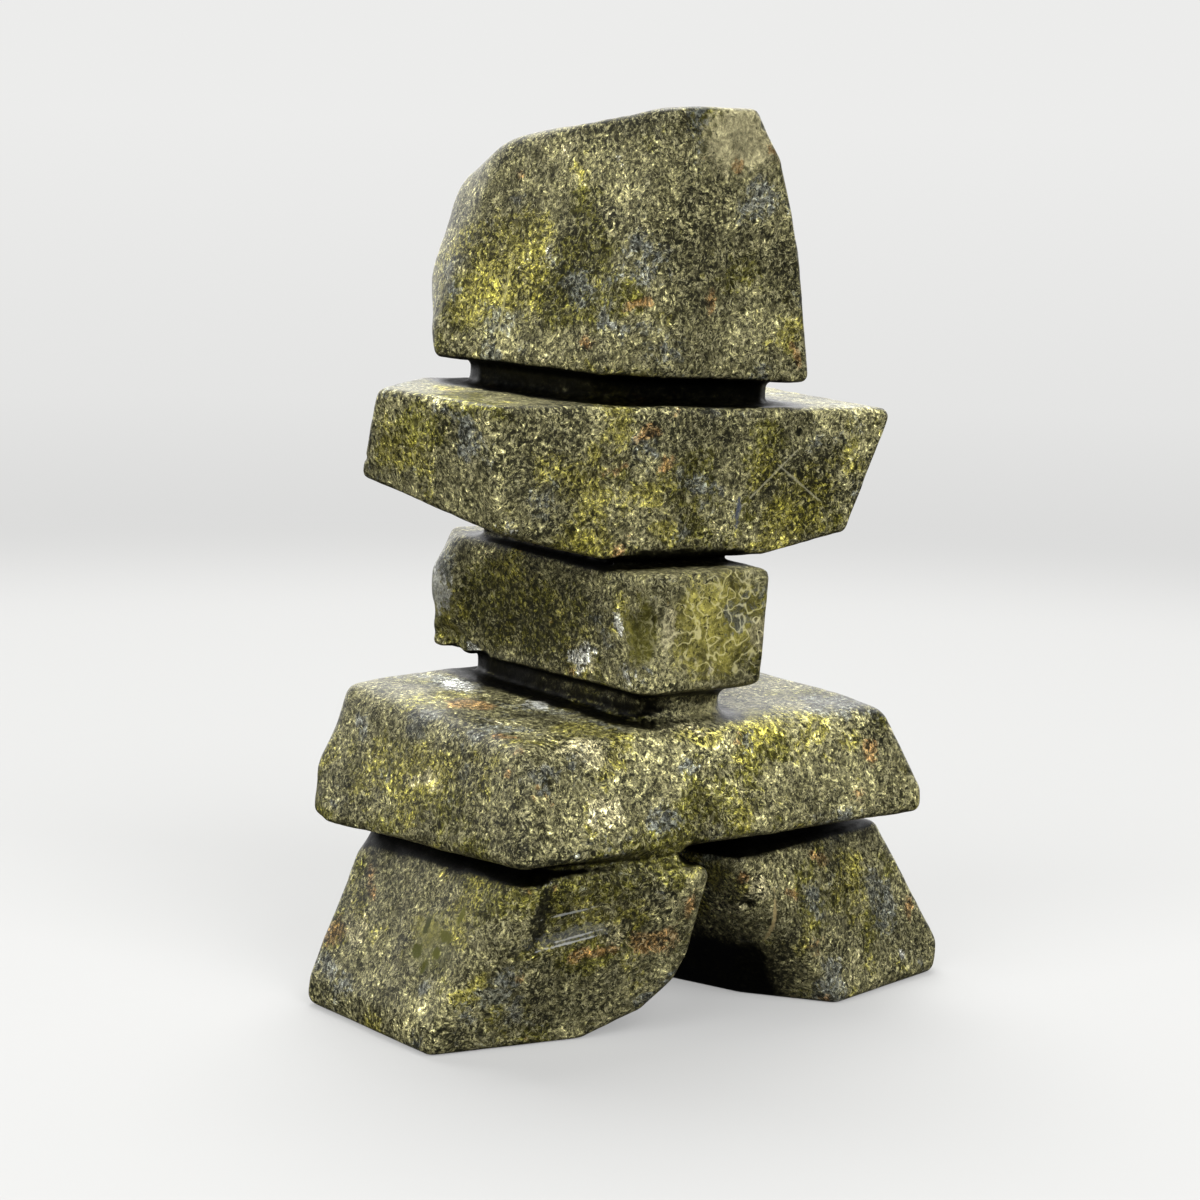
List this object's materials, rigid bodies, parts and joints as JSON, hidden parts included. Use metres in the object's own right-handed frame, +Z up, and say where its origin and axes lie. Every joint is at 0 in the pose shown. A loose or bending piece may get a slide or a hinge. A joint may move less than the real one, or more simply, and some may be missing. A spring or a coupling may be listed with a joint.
{
  "type": "inuit inukshuk sculpture",
  "caption": "Small standing stone figure: blocky head, wide arms, narrow body, wide hips and splayed legs, carved in one piece with deep grooves between the stones.",
  "frame": {"origin": "on the ground under the middle of the figure's outline, at the height of the soles", "axes": "+Z up, the figure looks towards -Y, its arms and its pair of feet run along X"},
  "size_m": [0.1332, 0.0852, 0.1901],
  "materials": {
    "serpentine": "mottled grey-green serpentine, rubbed smooth and waxed to a satin polish"
  },
  "bodies": {
    "root": {"carved_inukshuk": "serpentine"}
  },
  "joints": []
}
